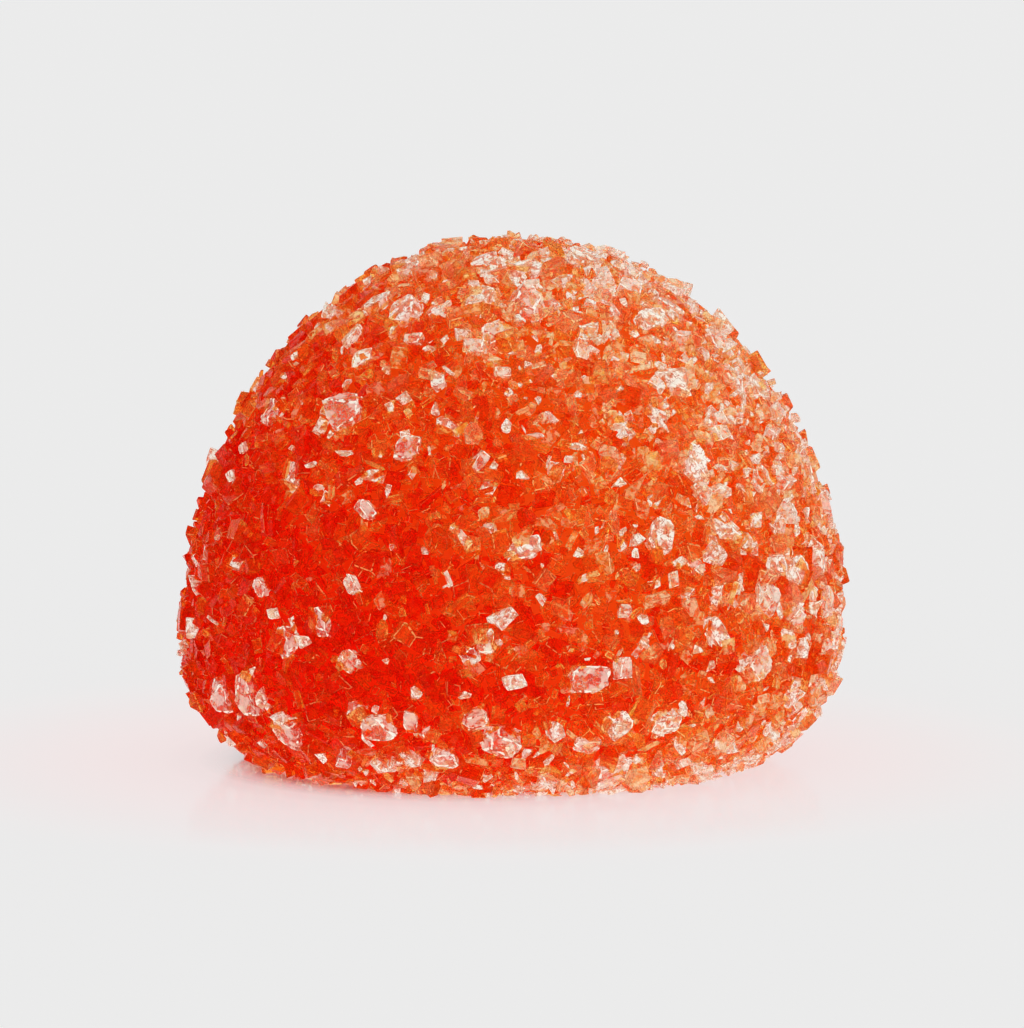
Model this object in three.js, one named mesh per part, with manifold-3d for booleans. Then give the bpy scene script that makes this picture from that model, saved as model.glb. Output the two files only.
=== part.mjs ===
// A sugared gumdrop: one dome of fruit jelly with a flat base and a rounded foot, rolled in coarse sugar.
// Millimetres, +Z up. The origin is the middle of the base that it rests on, and -Y is its front.
// The body is the jelly with its coat of fine sugar. The coarse crystals stand out of it and are fused to it.

import * as THREE from "three";
import { mergeVertices } from "three/addons/utils/BufferGeometryUtils.js";
import Module from "manifold-3d";

const HALF_TURN = Math.PI;
const QUARTER_TURN = Math.PI / 2;
const { degToRad, clamp } = THREE.MathUtils;

// The body: half an ellipsoid above the belly, and a quarter round below it down to the flat base.
const BELLY_RADIUS = 10.7;
const BODY_HEIGHT = 17.05;
const FOOT_ROUND = 4.1;
const FOOT_LEAN = 0.05; // the foot is this much wider in its round on the right, as a share of it
const BODY_SIDES = 38;
const FOOT_STEPS = 4;
const DOME_STEPS = 11;
const ROUGHNESS = 0.09; // the unevenness of the coat of fine sugar

// Sugar's crystals are monoclinic plates: their short faces lean, and some have two corners cut off.
const CRYSTAL_COUNT = 300;
const CRYSTAL_LENGTH = [0.8, 1.3];
const WIDTH_SHARE = [0.62, 0.95]; // of the length
const THICKNESS_SHARE = [0.5, 0.8]; // of the width
const STANDOUT_THICKNESS = 0.7; // of the width
const CORNER_CUT = 0.3; // of the width
const CRYSTAL_SHEAR = 0.2;
const SUNK = 0.12; // how deep a crystal's middle lies in the body, as a share of its thickness
const TILT = 0.6; // the most that a crystal leans out of the surface, in radians
const JITTER = 0.35; // of the distance between neighbours, sideways
const CLEARANCE = 0.95; // between the middles of a standout crystal and an ordinary one
const COVERED = 0.95; // the crystals cover this share of the body's area, from the top down
const AREA_STEPS = 400;
const SEED = 1207;

// The large clear crystals that stand out on the front: across, up, length, width, and turn in degrees.
// Across and up start at the middle of the base, square to a line of sight that slopes down by FRONT_SLOPE.
const FRONT_SLOPE = degToRad(8);
const STANDOUTS = [
  [0.4, 6.8, 1.05, 0.65, 12],
  [2.4, 2.7, 1.15, 0.8, -4],
  [-0.4, 0.7, 1.05, 0.95, -24],
  [6.5, 4.2, 0.95, 0.55, -62],
  [8.5, 6.4, 0.75, 0.6, 0],
  [9.1, 6.1, 0.95, 0.8, 40],
  [9.9, 6.5, 0.75, 0.6, 70],
  [8.9, 4.0, 0.65, 0.45, -70],
  [4.7, 7.3, 0.95, 0.75, 70],
  [3.3, 1.3, 0.85, 0.8, 45],
  [4.9, 1.3, 0.8, 0.7, 5],
  [9.1, 2.2, 0.95, 0.55, 25],
  [-9.3, 2.1, 1.05, 0.8, 80],
  [-8.5, 2.2, 1.35, 0.8, 100],
  [-7.1, 1.0, 1.0, 0.95, 60],
  [-4.2, 1.2, 1.15, 0.8, 8],
  [-3.2, 1.4, 0.65, 0.45, 80],
  [-1.2, 1.4, 0.85, 0.7, 20],
  [-2.2, 0.15, 0.95, 0.7, 10],
  [-4.65, 8.1, 0.85, 0.5, -38],
  [-8.0, 5.65, 0.7, 0.5, -34],
  [-6.1, 4.5, 0.85, 0.6, 100],
  [-5.2, 3.3, 0.7, 0.6, 60],
  [-1.35, 3.5, 0.6, 0.55, -60],
  [-0.85, 3.9, 0.75, 0.5, 85],
  [-4.3, 14.8, 0.75, 0.65, 30],
  [-3.4, 14.5, 1.0, 0.9, -60],
  [-5.1, 13.7, 0.8, 0.5, 80],
  [-4.8, 12.95, 0.75, 0.5, 20],
  [-1.0, 14.8, 1.1, 0.65, 60],
  [0.3, 15.8, 1.05, 0.9, -10],
  [2.2, 16.2, 1.0, 0.95, 60],
  [-5.3, 11.2, 1.35, 1.15, -50],
  [-3.3, 10.0, 0.8, 0.75, 0],
  [-7.0, 9.2, 0.8, 0.5, 100],
  [4.45, 14.2, 1.25, 0.7, 0],
  [5.95, 15.3, 0.95, 0.7, -20],
  [7.8, 12.1, 0.9, 0.7, 10],
  [5.2, 12.2, 0.9, 0.8, 60],
  [5.8, 9.6, 1.05, 0.65, 80],
];

const SIGHT_ROUNDS = 12; // rounds of approach to the point where a line of sight meets the body
const SLOPE_STEP = 1e-3; // of a level, on each side of the point where the outline's slope is taken
const SAME_POINT = 1e-4; // corners nearer than this are one corner

const wasm = await Module();
wasm.setup();

// The same row of numbers between 0 and 1 on every run (the mulberry32 generator).
function seededRandom(seed) {
  let state = seed >>> 0;
  return () => {
    state = (state + 0x6d2b79f5) >>> 0;
    let mixed = Math.imul(state ^ (state >>> 15), 1 | state);
    mixed = (mixed + Math.imul(mixed ^ (mixed >>> 7), 61 | mixed)) ^ mixed;
    return ((mixed ^ (mixed >>> 14)) >>> 0) / 2 ** 32;
  };
}

const between = ([low, high], share) => low + (high - low) * share;

// The radius of the foot's quarter round in the direction of an angle about the upright axis.
function footRound(angle) {
  return FOOT_ROUND * (1 + FOOT_LEAN * Math.cos(angle));
}

// A point of the body's outline. Level 0 is the edge of the base, 1 the belly and 2 the top.
function outline(level, angle) {
  const foot = footRound(angle);
  const turn = level * QUARTER_TURN;
  const radius = level < 1 ? BELLY_RADIUS - foot * (1 - Math.sin(turn)) : BELLY_RADIUS * Math.sin(turn);
  const height = foot - Math.cos(turn) * (level < 1 ? foot : BODY_HEIGHT - foot);
  return { radius, height };
}

// The level at which the body's outline has a given height.
function levelAt(height, angle) {
  const foot = footRound(angle);
  const reach = height < foot ? foot : BODY_HEIGHT - foot;
  return Math.acos(clamp((foot - height) / reach, -1, 1)) / QUARTER_TURN;
}

function surfacePoint([level, angle]) {
  const { radius, height } = outline(level, angle);
  return new THREE.Vector3(radius * Math.cos(angle), radius * Math.sin(angle), height);
}

// The direction straight out of the body, from the outline's slope.
function surfaceNormal([level, angle]) {
  const below = outline(level - SLOPE_STEP, angle);
  const above = outline(level + SLOPE_STEP, angle);
  const outward = above.height - below.height;
  const upward = below.radius - above.radius;
  return new THREE.Vector3(outward * Math.cos(angle), outward * Math.sin(angle), upward).normalize();
}

// Where the line of sight at across and up meets the front of the body, as a level and an angle.
function frontPoint([across, up]) {
  let [level, angle] = [1, -QUARTER_TURN];
  for (let round = 0; round < SIGHT_ROUNDS; round++) {
    const depth = Math.sqrt(Math.max(0, outline(level, angle).radius ** 2 - across ** 2));
    angle = Math.atan2(-depth, across);
    level = levelAt((up + depth * Math.sin(FRONT_SLOPE)) / Math.cos(FRONT_SLOPE), angle);
  }
  return [level, angle];
}

// Points spread evenly by area from the top down, along a spiral of golden angles.
function spreadPoints(count, random) {
  const levelOf = (step) => 2 - (2 * step) / AREA_STEPS;
  const area = [0];
  for (let i = 0; i < AREA_STEPS; i++) {
    const upper = outline(levelOf(i), QUARTER_TURN);
    const lower = outline(levelOf(i + 1), QUARTER_TURN);
    const slant = Math.hypot(upper.radius - lower.radius, upper.height - lower.height);
    area.push(area[i] + HALF_TURN * slant * (upper.radius + lower.radius));
  }
  const covered = area[AREA_STEPS] * COVERED;
  const spacing = Math.sqrt(covered / count);
  const goldenAngle = HALF_TURN * (3 - Math.sqrt(5));
  return Array.from({ length: count }, (_, i) => {
    const wanted = (covered * (i + 0.5)) / count;
    const next = area.findIndex((sum) => sum >= wanted);
    const level = levelOf(next - (area[next] - wanted) / (area[next] - area[next - 1]));
    const radius = Math.max(spacing, outline(level, QUARTER_TURN).radius);
    return [level, i * goldenAngle + (between([-JITTER, JITTER], random()) * spacing) / radius];
  });
}

// A closed geometry as a solid that can be joined and cut.
function solidOf(geometry) {
  const plain = geometry.index ? geometry.toNonIndexed() : geometry;
  plain.deleteAttribute("normal");
  plain.deleteAttribute("uv");
  const merged = mergeVertices(plain, SAME_POINT);
  const vertProperties = merged.attributes.position.array;
  const triVerts = new Uint32Array(merged.index.array);
  return new wasm.Manifold(new wasm.Mesh({ numProp: 3, vertProperties, triVerts }));
}

// A solid's surface as a geometry with flat faces.
function geometryOf(solid) {
  const { vertProperties, triVerts } = solid.getMesh();
  const geometry = new THREE.BufferGeometry();
  geometry.setAttribute("position", new THREE.BufferAttribute(vertProperties, 3));
  geometry.setIndex(new THREE.BufferAttribute(triVerts, 1));
  const faceted = geometry.toNonIndexed();
  faceted.computeVertexNormals();
  return faceted;
}

// The dome: a lathed profile, each point of which then moves to where the lean and the roughness put it.
// The edge of the base isn't roughened, so the base stays flat.
function bodySolid(random) {
  const footLevels = Array.from({ length: FOOT_STEPS }, (_, i) => i / FOOT_STEPS);
  const domeLevels = Array.from({ length: DOME_STEPS }, (_, i) => 1 + i / DOME_STEPS);
  const levels = [...footLevels, ...domeLevels];
  const rim = levels.map((level) => outline(level, QUARTER_TURN));
  const profile = rim.map(({ radius, height }) => new THREE.Vector2(radius, height));
  profile.unshift(new THREE.Vector2(0, 0));
  profile.push(new THREE.Vector2(0, BODY_HEIGHT));
  const bumps = levels.map(() => Array.from({ length: BODY_SIDES }, () => ROUGHNESS * (2 * random() - 1)));

  // LatheGeometry stands along Y, so the dome is turned to stand along Z.
  const dome = new THREE.LatheGeometry(profile, BODY_SIDES).rotateX(QUARTER_TURN);
  const place = dome.attributes.position;
  for (let side = 0; side <= BODY_SIDES; side++) {
    levels.forEach((level, i) => {
      const index = side * profile.length + i + 1;
      const angle = Math.atan2(place.getY(index), place.getX(index));
      const point = surfacePoint([level, angle]);
      if (level > 0) point.addScaledVector(surfaceNormal([level, angle]), bumps[i][side % BODY_SIDES]);
      place.setXYZ(index, point.x, point.y, point.z);
    });
  }
  return solidOf(dome);
}

// One ordinary crystal: a plain plate with its middle at the origin.
function plainPlate(length, width, thickness) {
  return new THREE.BoxGeometry(length, width, thickness);
}

// One standout crystal: a plate with two corners of its broad face cut off.
function cutPlate(length, width, thickness) {
  const [end, side, cut] = [length / 2, width / 2, CORNER_CUT * width];
  const face = new THREE.Shape([
    new THREE.Vector2(-end, -side),
    new THREE.Vector2(end - cut, -side),
    new THREE.Vector2(end, cut - side),
    new THREE.Vector2(end, side),
    new THREE.Vector2(cut - end, side),
    new THREE.Vector2(-end, side - cut),
  ]);
  const plate = new THREE.ExtrudeGeometry(face, { depth: thickness, bevelEnabled: false });
  return plate.translate(0, 0, -thickness / 2);
}

// Sets a plate on the body: sheared, leaned, turned about the surface's normal and sunk a little.
function setCrystal(plate, at, thickness, turn, lean) {
  const normal = surfaceNormal(at);
  const sideways = new THREE.Vector3(-Math.sin(at[1]), Math.cos(at[1]), 0);
  const matrix = new THREE.Matrix4()
    .makeBasis(sideways, normal.clone().cross(sideways), normal)
    .multiply(new THREE.Matrix4().makeRotationZ(turn))
    .multiply(new THREE.Matrix4().makeRotationX(lean))
    .multiply(new THREE.Matrix4().makeShear(0, 0, 0, 0, CRYSTAL_SHEAR, 0))
    .setPosition(surfacePoint(at).addScaledVector(normal, -SUNK * thickness));
  return solidOf(plate.applyMatrix4(matrix));
}

function standoutCrystals(random) {
  return STANDOUTS.map(([across, up, length, width, turn]) => {
    const thickness = width * STANDOUT_THICKNESS;
    const lean = between([-TILT, TILT], random()) / 2;
    const plate = cutPlate(length, width, thickness);
    return setCrystal(plate, frontPoint([across, up]), thickness, degToRad(turn), lean);
  });
}

function ordinaryCrystals(random) {
  const taken = STANDOUTS.map((standout) => surfacePoint(frontPoint(standout)));
  const solids = [];
  for (const at of spreadPoints(CRYSTAL_COUNT, random)) {
    const length = between(CRYSTAL_LENGTH, random() ** 2);
    const width = length * between(WIDTH_SHARE, random());
    const thickness = width * between(THICKNESS_SHARE, random());
    const turn = HALF_TURN * random();
    const lean = between([-TILT, TILT], random());
    const point = surfacePoint(at);
    if (taken.some((other) => other.distanceTo(point) < CLEARANCE)) continue;
    solids.push(setCrystal(plainPlate(length, width, thickness), at, thickness, turn, lean));
  }
  return solids;
}

// What a crystal at the foot would push below the base. The sweet sits flat on the table, so it is cut off.
function belowBase() {
  const depth = 4;
  const side = 4 * BELLY_RADIUS;
  return solidOf(new THREE.BoxGeometry(side, side, depth).translate(0, 0, -depth / 2));
}

const random = seededRandom(SEED);
const sugar = [...standoutCrystals(random), ...ordinaryCrystals(random)];
const coated = sugar.reduce((whole, crystal) => whole.add(crystal), bodySolid(random));
const sweet = coated.subtract(belowBase());

const sugaredJelly = new THREE.MeshStandardMaterial({ color: 0xe4501f, roughness: 0.35, metalness: 0 });
const gumdrop = new THREE.Mesh(geometryOf(sweet), sugaredJelly);
gumdrop.name = "gumdrop";

const part = new THREE.Group();
part.add(gumdrop);

export default part;
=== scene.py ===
"""A sugared gumdrop: a dome of red jelly under a thick crust of clear and syrup-stained sugar crystals."""

import math
from dataclasses import dataclass

import bmesh
import bpy
import numpy as np
from mathutils import Matrix, Vector


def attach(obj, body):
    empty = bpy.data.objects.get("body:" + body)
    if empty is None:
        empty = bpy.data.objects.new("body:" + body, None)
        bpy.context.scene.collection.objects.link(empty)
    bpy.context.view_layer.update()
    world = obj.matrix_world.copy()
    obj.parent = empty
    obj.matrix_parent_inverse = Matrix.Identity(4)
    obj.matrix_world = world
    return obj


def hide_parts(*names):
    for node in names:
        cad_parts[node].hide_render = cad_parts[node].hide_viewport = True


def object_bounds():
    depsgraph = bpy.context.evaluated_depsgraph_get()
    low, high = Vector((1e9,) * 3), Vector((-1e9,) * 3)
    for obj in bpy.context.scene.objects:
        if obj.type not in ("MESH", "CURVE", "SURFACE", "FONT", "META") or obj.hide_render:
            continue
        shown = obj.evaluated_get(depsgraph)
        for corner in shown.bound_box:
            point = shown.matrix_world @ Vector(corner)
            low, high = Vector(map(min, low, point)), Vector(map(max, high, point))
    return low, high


bl_info = {
    "name": "Sugared Gumdrop",
    "version": (1, 0, 0),
    "blender": (4, 5, 0),
    "location": "View3D > Sidebar > Gumdrop",
    "description": "Builds the jelly, the crust of sugar crystals and the table of a sugared gumdrop",
    "category": "Add Mesh",
}

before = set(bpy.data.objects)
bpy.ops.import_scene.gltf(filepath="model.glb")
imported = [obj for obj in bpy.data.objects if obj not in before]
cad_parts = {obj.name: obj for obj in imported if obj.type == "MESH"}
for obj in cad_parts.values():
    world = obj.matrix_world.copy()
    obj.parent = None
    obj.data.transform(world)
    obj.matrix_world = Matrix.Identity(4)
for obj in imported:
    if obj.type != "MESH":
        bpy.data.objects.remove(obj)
CAD_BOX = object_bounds()
NODE = "gumdrop"
MM = 0.001

# The dome that carries the crystals: half an ellipsoid above the belly and a quarter round below it.
# Level -1 is the middle of the base, 0 its edge, 1 the belly and 2 the top.
BELLY_RADIUS = 10.7 * MM
BODY_HEIGHT = 17.05 * MM
FOOT_ROUND = 4.1 * MM
FOOT_LEAN = 0.05
MIDDLE_OF_BASE, EDGE_OF_BASE, BELLY, TOP = -1, 0, 1, 2
QUARTER_TURN = math.pi / 2

# The large crystals lie where the solid model has them: the same rule, the same seed and the same draws.
LARGE_COUNT = 300
LARGE_LENGTH = (0.8 * MM, 1.3 * MM)
LARGE_WIDTH_SHARE = (0.62, 0.95)
LARGE_THICKNESS_SHARE = (0.5, 0.8)
STANDOUT_THICKNESS = 0.7
LARGE_TILT = 0.6
LARGE_JITTER = 0.35
LARGE_COVERED = 0.95
LARGE_SUNK = 0.12
CLEARANCE = 0.95 * MM
LARGE_SEED = 1207
STEPS_PER_LEVEL = 200
FRONT_STEPS = 12
CRYSTAL_SHEAR = 0.2

# Large crystals that don't stand out are clean more often than small ones, or else lie low in the syrup.
LARGE_CLEAN_FACTOR = 1.5
LARGE_STAINED_SIZE = 0.85
LARGE_STAINED_RIM = 0.4
LARGE_STAINED_DROP = 0.12 * MM
STANDOUT_RAISED = 0.05 * MM
STANDOUT_FROSTED_FROM = 0.4  # painted paleness of the crust (painted light) from which a standout is frosted

# The ordinary crystals: most are small, some are long, and a few lie on top of the others.
ORDINARY_EXPONENT = 2.2
ORDINARY_WIDTH_SHARE = (0.6, 1.0)
LONG_SHARE = 0.3
LONG_STRETCH = 1.35
LONG_WIDTH_SHARE = (0.3, 0.5)
THICKNESS_SHARE = (0.5, 1.0)
ORDINARY_LEAN = 1.3
ORDINARY_LIFT = (-0.3, 0.06)  # millimetres
ON_TOP_SHARE = 0.15
ON_TOP_LIFT = 0.2
CLEAN_RAISED = 0.08 * MM
BROKEN_SHARE = 0.45

# The fine grains lie deep between the crystals, and the sparkles on top of them.
SMALL_EXPONENT = 1.5
SMALL_LEAN = 1.5
GRAIN_WIDTH_SHARE = (0.55, 0.95)
GRAIN_LIFT = (-0.25, 0.02)  # millimetres
SPARKLE_WIDTH_SHARE = (0.35, 1.0)
SPARKLE_LIFT = (0.0, 0.24)  # millimetres
SPARKLES_WHERE_PALE = 0.7
SPARKLES_AT_LEAST = 0.05
LEAST_HEIGHT = 0.05 * MM  # a crystal that stays below it can't be seen

# Painted light: how pale the crust is painted in its middle, and how much paler to the right and upwards,
# where the key light falls, at the foot, where the table's light falls, and outwards.
PALE_MIDDLE = 0.37
PALER_RIGHT = 0.46
PALER_UP = 0.38
PALER_FOOT = 0.7
PALER_OUTSIDE = 0.6 / MM
PALEST = 1.3
MIDDLE_HEIGHT = 8 * MM
FOOT_HEIGHT = 4 * MM
STAIN_SPREAD = 0.45
# Worn edges are paler, partly frost and partly a painted highlight, and crystals are clean more often, the
# paler the crust is painted.
RIM_LEAST, RIM_GAIN = 0.6, 0.5
CLEAN_LEAST, CLEAN_GAIN = 0.35, 2.7
TRACE_OF_SYRUP = 0.6

# The unit crystals, in shares of their side.
BLOCK_CROOKED = 0.08
SHARD_CROOKED = 0.1
CORNER_SLOPE = (0.35, 1.0)
CORNER_DEPTH = (0.08, 0.3)
CUT_EDGE_SHARE = 0.35  # of the cuts, those that take off an edge and not a corner
BREAK_SLANT = 0.9
BREAK_PLACE = (0.15, 0.4)
CHIP_SIDE = 1.15
CHIP_CUTS = 4
CHIP_PLACE = (0.34, 0.5)
STANDOUT_CORNER = (0.75, -0.65)
STANDOUT_DEPTH = (0.1, 0.22)
STANDOUT_CUTS = 3
STANDOUT_PLACE = (0.45, 0.58)
STANDOUT_WEAR = (0.05, 0.8)  # width of the worn edges, and the share of edges that are worn
STANDOUT_LONG_EDGE = 0.25
STANDOUT_UNEVEN = 0.022
SAME_POINT = 0.02

# What is uneven in a crystal: noise by the metre, and how far the bumps rise.
STAIN_SCALE = 4800.0
CREASE_SCALE = 8000.0
BUMP_STRENGTH = 0.6
BUMP_DISTANCE = 0.08 * MM
TINT_IN_FROST = 0.3
BOUNCES_BEFORE_CLEAR = 3
LARGE_FLAW_SIZE = 1.6

# The stage: the lights' directions and softness, and how the camera frames the gumdrop.
KEY_DIRECTION = (-0.75, -0.25, -0.8)
FILL_DIRECTION = (-0.1, 1.0, -0.1)
LIGHT_SOFTNESS = math.radians(70)
TABLE_RADIUS = 3.0
UNDER_GLOW = 1.0  # strength of the light that the table sends up to the gumdrop
BACKDROP_GLOW = 1.04  # how bright the surroundings look behind the table
EXPOSURE = -0.8
WIDTH_IN_FRAME = 0.648
LOOK_AT_HEIGHT = 0.47  # of the gumdrop's height
SENSOR_WIDTH = 36.0
NEAREST_SEEN = 0.01
BOUNCES = {
    "max_bounces": 12,
    "diffuse_bounces": 6,
    "transmission_bounces": 8,
    "transparent_max_bounces": 64,
}
# How strongly the table mirrors by the distance from the mirror's middle, as a share of its reach.
MIRROR_MIDDLE = (-1.5 * MM, 0.0, 0.0)
MIRROR_REACH = 24 * MM
MIRROR_STOPS = [(0.3, 0.8), (0.33, 0.4), (0.37, 0.17), (0.42, 0.11), (0.5, 0.08), (0.65, 0.05), (0.78, 0.0)]
# Where the painted pink light around the foot fades, as a share of the mirror's reach.
PAINTED_PINK_LIGHT_FADE = (0.4, 0.9)

# The crystals that stand out on the front: across, up, length and width in millimetres, and the turn in
# degrees, seen along a line of sight that slopes down by FRONT_SLOPE.
FRONT_SLOPE = math.radians(8)
STANDOUTS = [
    (0.4, 6.8, 1.05, 0.65, 12),
    (2.4, 2.7, 1.15, 0.8, -4),
    (-0.4, 0.7, 1.05, 0.95, -24),
    (6.5, 4.2, 0.95, 0.55, -62),
    (8.5, 6.4, 0.75, 0.6, 0),
    (9.1, 6.1, 0.95, 0.8, 40),
    (9.9, 6.5, 0.75, 0.6, 70),
    (8.9, 4.0, 0.65, 0.45, -70),
    (4.7, 7.3, 0.95, 0.75, 70),
    (3.3, 1.3, 0.85, 0.8, 45),
    (4.9, 1.3, 0.8, 0.7, 5),
    (9.1, 2.2, 0.95, 0.55, 25),
    (-9.3, 2.1, 1.05, 0.8, 80),
    (-8.5, 2.2, 1.35, 0.8, 100),
    (-7.1, 1.0, 1.0, 0.95, 60),
    (-4.2, 1.2, 1.15, 0.8, 8),
    (-3.2, 1.4, 0.65, 0.45, 80),
    (-1.2, 1.4, 0.85, 0.7, 20),
    (-2.2, 0.15, 0.95, 0.7, 10),
    (-4.65, 8.1, 0.85, 0.5, -38),
    (-8.0, 5.65, 0.7, 0.5, -34),
    (-6.1, 4.5, 0.85, 0.6, 100),
    (-5.2, 3.3, 0.7, 0.6, 60),
    (-1.35, 3.5, 0.6, 0.55, -60),
    (-0.85, 3.9, 0.75, 0.5, 85),
    (-4.3, 14.8, 0.75, 0.65, 30),
    (-3.4, 14.5, 1.0, 0.9, -60),
    (-5.1, 13.7, 0.8, 0.5, 80),
    (-4.8, 12.95, 0.75, 0.5, 20),
    (-1.0, 14.8, 1.1, 0.65, 60),
    (0.3, 15.8, 1.05, 0.9, -10),
    (2.2, 16.2, 1.0, 0.95, 60),
    (-5.3, 11.2, 1.35, 1.15, -50),
    (-3.3, 10.0, 0.8, 0.75, 0),
    (-7.0, 9.2, 0.8, 0.5, 100),
    (4.45, 14.2, 1.25, 0.7, 0),
    (5.95, 15.3, 0.95, 0.7, -20),
    (7.8, 12.1, 0.9, 0.7, 10),
    (5.2, 12.2, 0.9, 0.8, 60),
    (5.8, 9.6, 1.05, 0.65, 80),
]


# ---------------------------------------------------------------- settings


class JellySettings(bpy.types.PropertyGroup):
    inset: bpy.props.FloatProperty(
        name="Inset",
        description="How far the jelly lies inside the dome that carries the crystals",
        default=0.3 * MM,
        unit="LENGTH",
    )
    # Painted light and shade: the jelly is painted deep red at the low left, away from the key light, and
    # orange at the top right, where it falls.
    deep_shaded_color: bpy.props.FloatVectorProperty(
        name="Deep side",
        description="Colour of the jelly at the low left, where the light has furthest to go",
        default=(0.88, 0.014, 0.001),
        subtype="COLOR",
    )
    lit_side_color: bpy.props.FloatVectorProperty(
        name="Light side",
        description="Colour of the jelly at the top right",
        default=(0.88, 0.12, 0.012),
        subtype="COLOR",
    )
    glow_color: bpy.props.FloatVectorProperty(
        name="Glow",
        description="Colour of the light that comes through the jelly to what is in its shade",
        default=(1.0, 0.3, 0.05),
        subtype="COLOR",
    )
    glow: bpy.props.FloatProperty(
        name="Light let through",
        description="Share of the light that the jelly lets through to what is in its shade",
        default=0.6,
        subtype="FACTOR",
    )


class SugarSettings(bpy.types.PropertyGroup):
    grain_count: bpy.props.IntProperty(
        name="Grains",
        description="Number of fine grains between the crystals",
        default=7000,
    )
    grain_size: bpy.props.FloatVectorProperty(
        name="Grain size",
        description="Shortest and longest fine grain",
        default=(0.18 * MM, 0.34 * MM),
        size=2,
        unit="LENGTH",
    )
    crystal_count: bpy.props.IntProperty(
        name="Crystals",
        description="Number of crystals of the ordinary size",
        default=14000,
    )
    crystal_size: bpy.props.FloatVectorProperty(
        name="Crystal size",
        description="Shortest and longest ordinary crystal",
        default=(0.24 * MM, 0.72 * MM),
        size=2,
        unit="LENGTH",
    )
    # The tints from deep to pale are the syrup's stain, varied at random, and painted light: the crust's
    # painted paleness picks among them.
    deep_shaded_color: bpy.props.FloatVectorProperty(
        name="Deep syrup",
        description="Tint of a crystal soaked in syrup on the deep red side",
        default=(0.94, 0.07, 0.003),
        subtype="COLOR",
    )
    syrup_color: bpy.props.FloatVectorProperty(
        name="Syrup",
        description="Tint of a crystal stained by syrup",
        default=(0.96, 0.38, 0.06),
        subtype="COLOR",
    )
    amber_color: bpy.props.FloatVectorProperty(
        name="Amber",
        description="Tint of a lightly stained crystal",
        default=(0.98, 0.7, 0.23),
        subtype="COLOR",
    )
    pale_color: bpy.props.FloatVectorProperty(
        name="Pale",
        description="Tint of a nearly clean crystal",
        default=(1.0, 0.9, 0.62),
        subtype="COLOR",
    )
    clean_color: bpy.props.FloatVectorProperty(
        name="Clean sugar",
        description="Colour of a crystal that the syrup hasn't reached",
        default=(1.0, 0.96, 0.86),
        subtype="COLOR",
    )
    hazy_share: bpy.props.FloatProperty(
        name="Hazy share",
        description="Share of the ordinary stained crystals that are hazy where the crust is pale",
        default=0.45,
        subtype="FACTOR",
    )
    frosted_share: bpy.props.FloatProperty(
        name="Frosted share",
        description="Share of the clean crystals that are frosted white",
        default=0.5,
        subtype="FACTOR",
    )
    edged_share: bpy.props.FloatProperty(
        name="Edged share",
        description="Share of the ordinary crystals with worn, pale edges",
        default=0.25,
        subtype="FACTOR",
    )
    sparkle_count: bpy.props.IntProperty(
        name="Sparkles",
        description="Number of places for a small clean crystal on top of the crust",
        default=3800,
    )
    sparkle_size: bpy.props.FloatVectorProperty(
        name="Sparkle size",
        description="Shortest and longest sparkle",
        default=(0.16 * MM, 0.42 * MM),
        size=2,
        unit="LENGTH",
    )
    clean_share: bpy.props.FloatProperty(
        name="Clean share",
        description="Share of the ordinary crystals that are clean where the crust is neither deep nor pale",
        default=0.08,
        subtype="FACTOR",
    )


class StageSettings(bpy.types.PropertyGroup):
    table_color: bpy.props.FloatVectorProperty(
        name="Table",
        description="Colour of the table",
        default=(0.12, 0.12, 0.12),
        subtype="COLOR",
    )
    table_glow: bpy.props.FloatProperty(
        name="Table glow",
        description="Strength of the light that the table gives",
        default=0.91,
    )
    # Painted light: a pink pool of light painted into the table's glow around the foot.
    painted_pink_light_color: bpy.props.FloatVectorProperty(
        name="Blush",
        description="Colour that the light through the gumdrop gives to the table's glow around its foot",
        default=(1.1, 1.0, 1.0),
        subtype="COLOR",
    )
    sky_strength: bpy.props.FloatProperty(
        name="Soft light",
        description="Strength of the even light from all sides",
        default=0.96,
    )
    sun_strength: bpy.props.FloatProperty(
        name="Key light",
        description="Strength of the wide soft light from the upper right",
        default=0.42,
    )
    fill_strength: bpy.props.FloatProperty(
        name="Fill light",
        description="Strength of the wide soft light from the front",
        default=0.56,
    )
    elevation: bpy.props.FloatProperty(
        name="Elevation",
        description="Angle from which the camera looks down",
        default=math.radians(7.5),
        subtype="ANGLE",
    )
    distance: bpy.props.FloatProperty(
        name="Distance",
        description="Distance from the camera to the gumdrop",
        default=0.26,
        unit="LENGTH",
    )


class GumdropSettings(bpy.types.PropertyGroup):
    jelly: bpy.props.PointerProperty(type=JellySettings, name="Jelly", description="The jelly body")
    sugar: bpy.props.PointerProperty(type=SugarSettings, name="Sugar", description="The crust of crystals")
    stage: bpy.props.PointerProperty(type=StageSettings, name="Stage", description="Table, light and camera")


# ---------------------------------------------------------------- the dome


def between(limits, share):
    """The value at a share of the way from the lower limit to the upper one."""
    return limits[0] + (limits[1] - limits[0]) * share


def clamp(value, low=0.0, high=1.0):
    return max(low, min(high, value))


def seeded_random(seed):
    """The same row of numbers between 0 and 1 on every run, as the solid model draws them (mulberry32)."""
    word = 0xFFFFFFFF
    state = seed & word

    def draw():
        nonlocal state
        state = (state + 0x6D2B79F5) & word
        mixed = ((state ^ (state >> 15)) * (1 | state)) & word
        mixed = ((mixed + ((mixed ^ (mixed >> 7)) * (61 | mixed) & word)) & word) ^ mixed
        return (mixed ^ (mixed >> 14)) / (word + 1)

    return draw


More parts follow.
